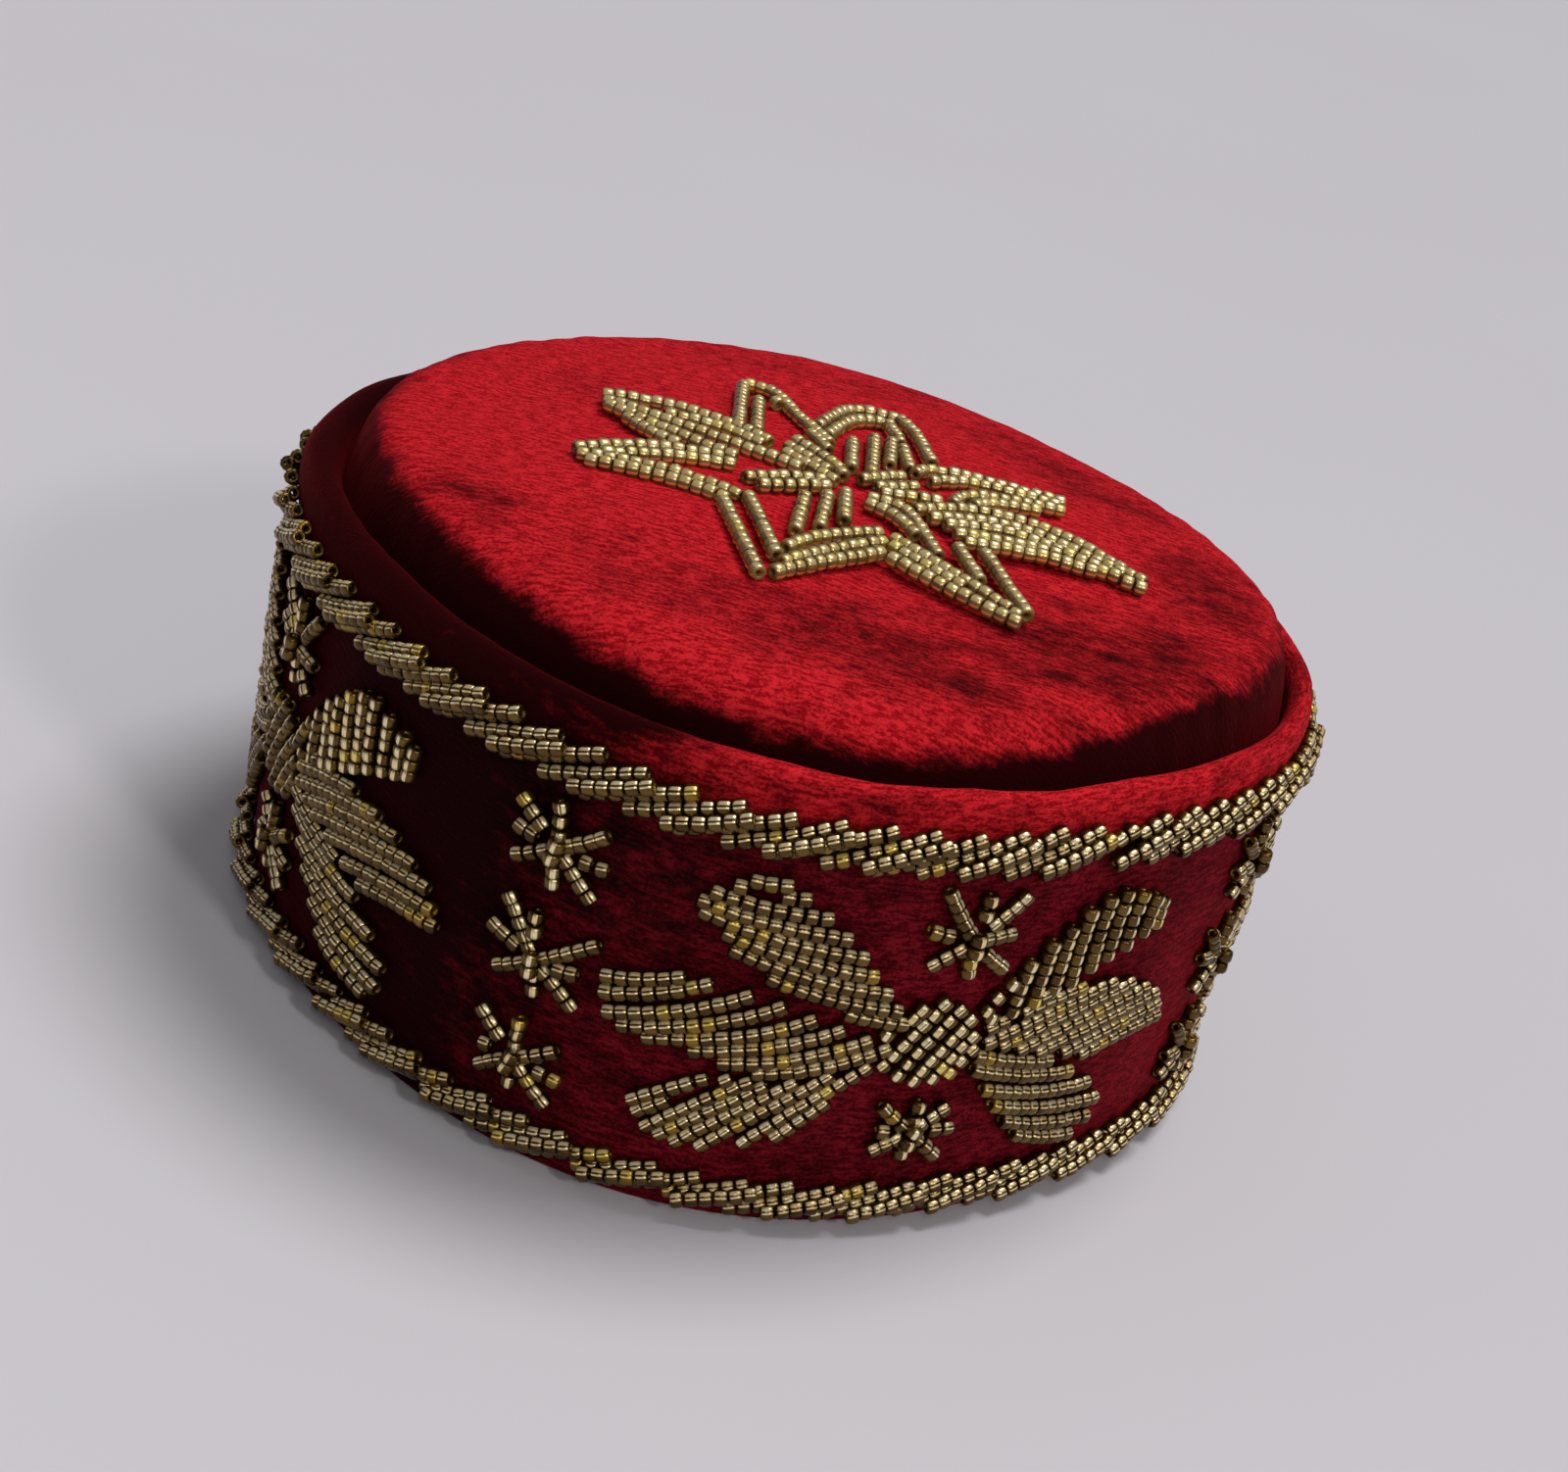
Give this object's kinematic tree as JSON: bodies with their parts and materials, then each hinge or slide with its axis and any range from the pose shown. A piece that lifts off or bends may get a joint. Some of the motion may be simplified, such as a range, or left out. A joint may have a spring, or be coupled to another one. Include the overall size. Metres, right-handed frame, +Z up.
{
  "type": "beaded cap",
  "caption": "Round brimless velvet cap with a padded crown, a rolled rim, and bead embroidery: rope borders, leafy flowers, small stars and a crown star.",
  "frame": {"origin": "middle of the cap's box, on the surface that its hem rests on", "axes": "+Z up through the crown, -Y is the side that the picture shows to the front, +X to its right"},
  "size_m": [0.2018, 0.1978, 0.105],
  "materials": {
    "band_velvet": "dark red cotton velvet",
    "crown_velvet": "bright red velvet over padding",
    "gold_beads": "silver-lined gold glass seed beads"
  },
  "bodies": {
    "root": {"side_band": "band_velvet", "crown_panel": "crown_velvet", "upper_border": "gold_beads", "lower_border": "gold_beads", "flower_1": "gold_beads", "star_1_1": "gold_beads", "star_1_2": "gold_beads", "star_1_3": "gold_beads", "star_1_4": "gold_beads", "star_1_5": "gold_beads", "flower_2": "gold_beads", "star_2_1": "gold_beads", "star_2_2": "gold_beads", "star_2_3": "gold_beads", "star_2_4": "gold_beads", "star_2_5": "gold_beads", "flower_3": "gold_beads", "star_3_1": "gold_beads", "star_3_2": "gold_beads", "star_3_3": "gold_beads", "star_3_4": "gold_beads", "star_3_5": "gold_beads", "flower_4": "gold_beads", "star_4_1": "gold_beads", "star_4_2": "gold_beads", "star_4_3": "gold_beads", "star_4_4": "gold_beads", "star_4_5": "gold_beads", "crown_star": "gold_beads"}
  },
  "joints": []
}
